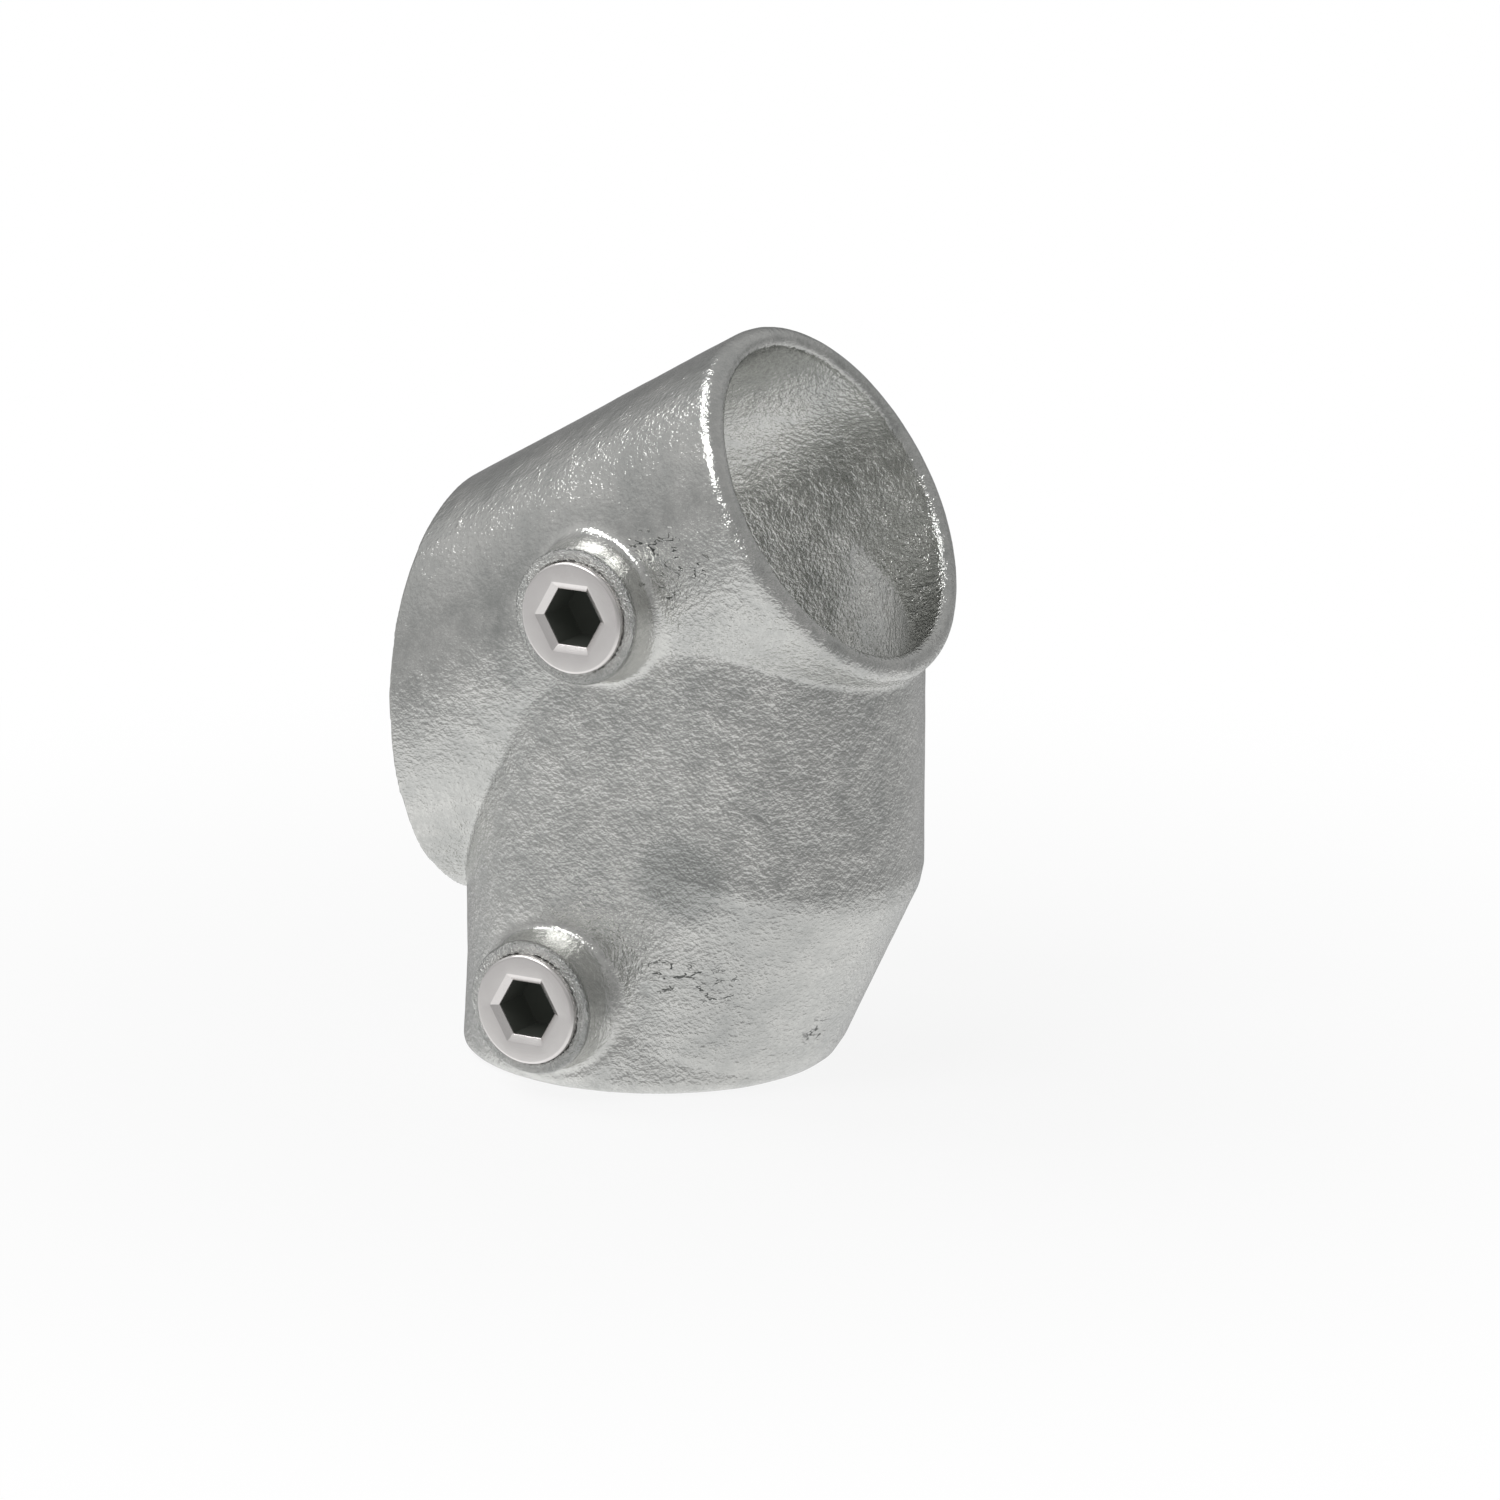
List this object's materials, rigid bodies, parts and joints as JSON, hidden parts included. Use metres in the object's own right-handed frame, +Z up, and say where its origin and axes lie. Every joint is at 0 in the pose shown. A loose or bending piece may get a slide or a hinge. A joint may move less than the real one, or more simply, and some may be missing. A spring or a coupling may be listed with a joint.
{
  "type": "tube clamp tee fitting",
  "caption": "Angled short tee for round handrail tube: a slanted through sleeve, an upright socket with swing room, and hex socket set screws in bosses.",
  "frame": {"origin": "where the axis of the sleeve's bore crosses the axis of the socket's bore", "axes": "+Z up along the upright tube, out of the socket's closed side; +X level, in the plane of both tubes, towards the raised end of the sleeve; the set screws face -Y"},
  "size_m": [0.0754, 0.0633, 0.1125],
  "materials": {
    "galvanised_iron": "hot-dip galvanised over a rough casting, mottled satin zinc",
    "plated_steel": "smooth satin plated steel, dark inside the hexagonal socket"
  },
  "bodies": {
    "fitting": {"casting": "galvanised_iron"},
    "sleeve_screw": {"sleeve_set_screw": "plated_steel"},
    "socket_screw": {"socket_set_screw": "plated_steel"}
  },
  "joints": [
    {"name": "sleeve_screw_travel", "type": "slide", "parent": "fitting", "child": "sleeve_screw", "axis": [0, -1, 0], "range_m": [-0.001, 0.006]},
    {"name": "socket_screw_travel", "type": "slide", "parent": "fitting", "child": "socket_screw", "axis": [0, -1, 0], "range_m": [-0.001, 0.006]}
  ]
}
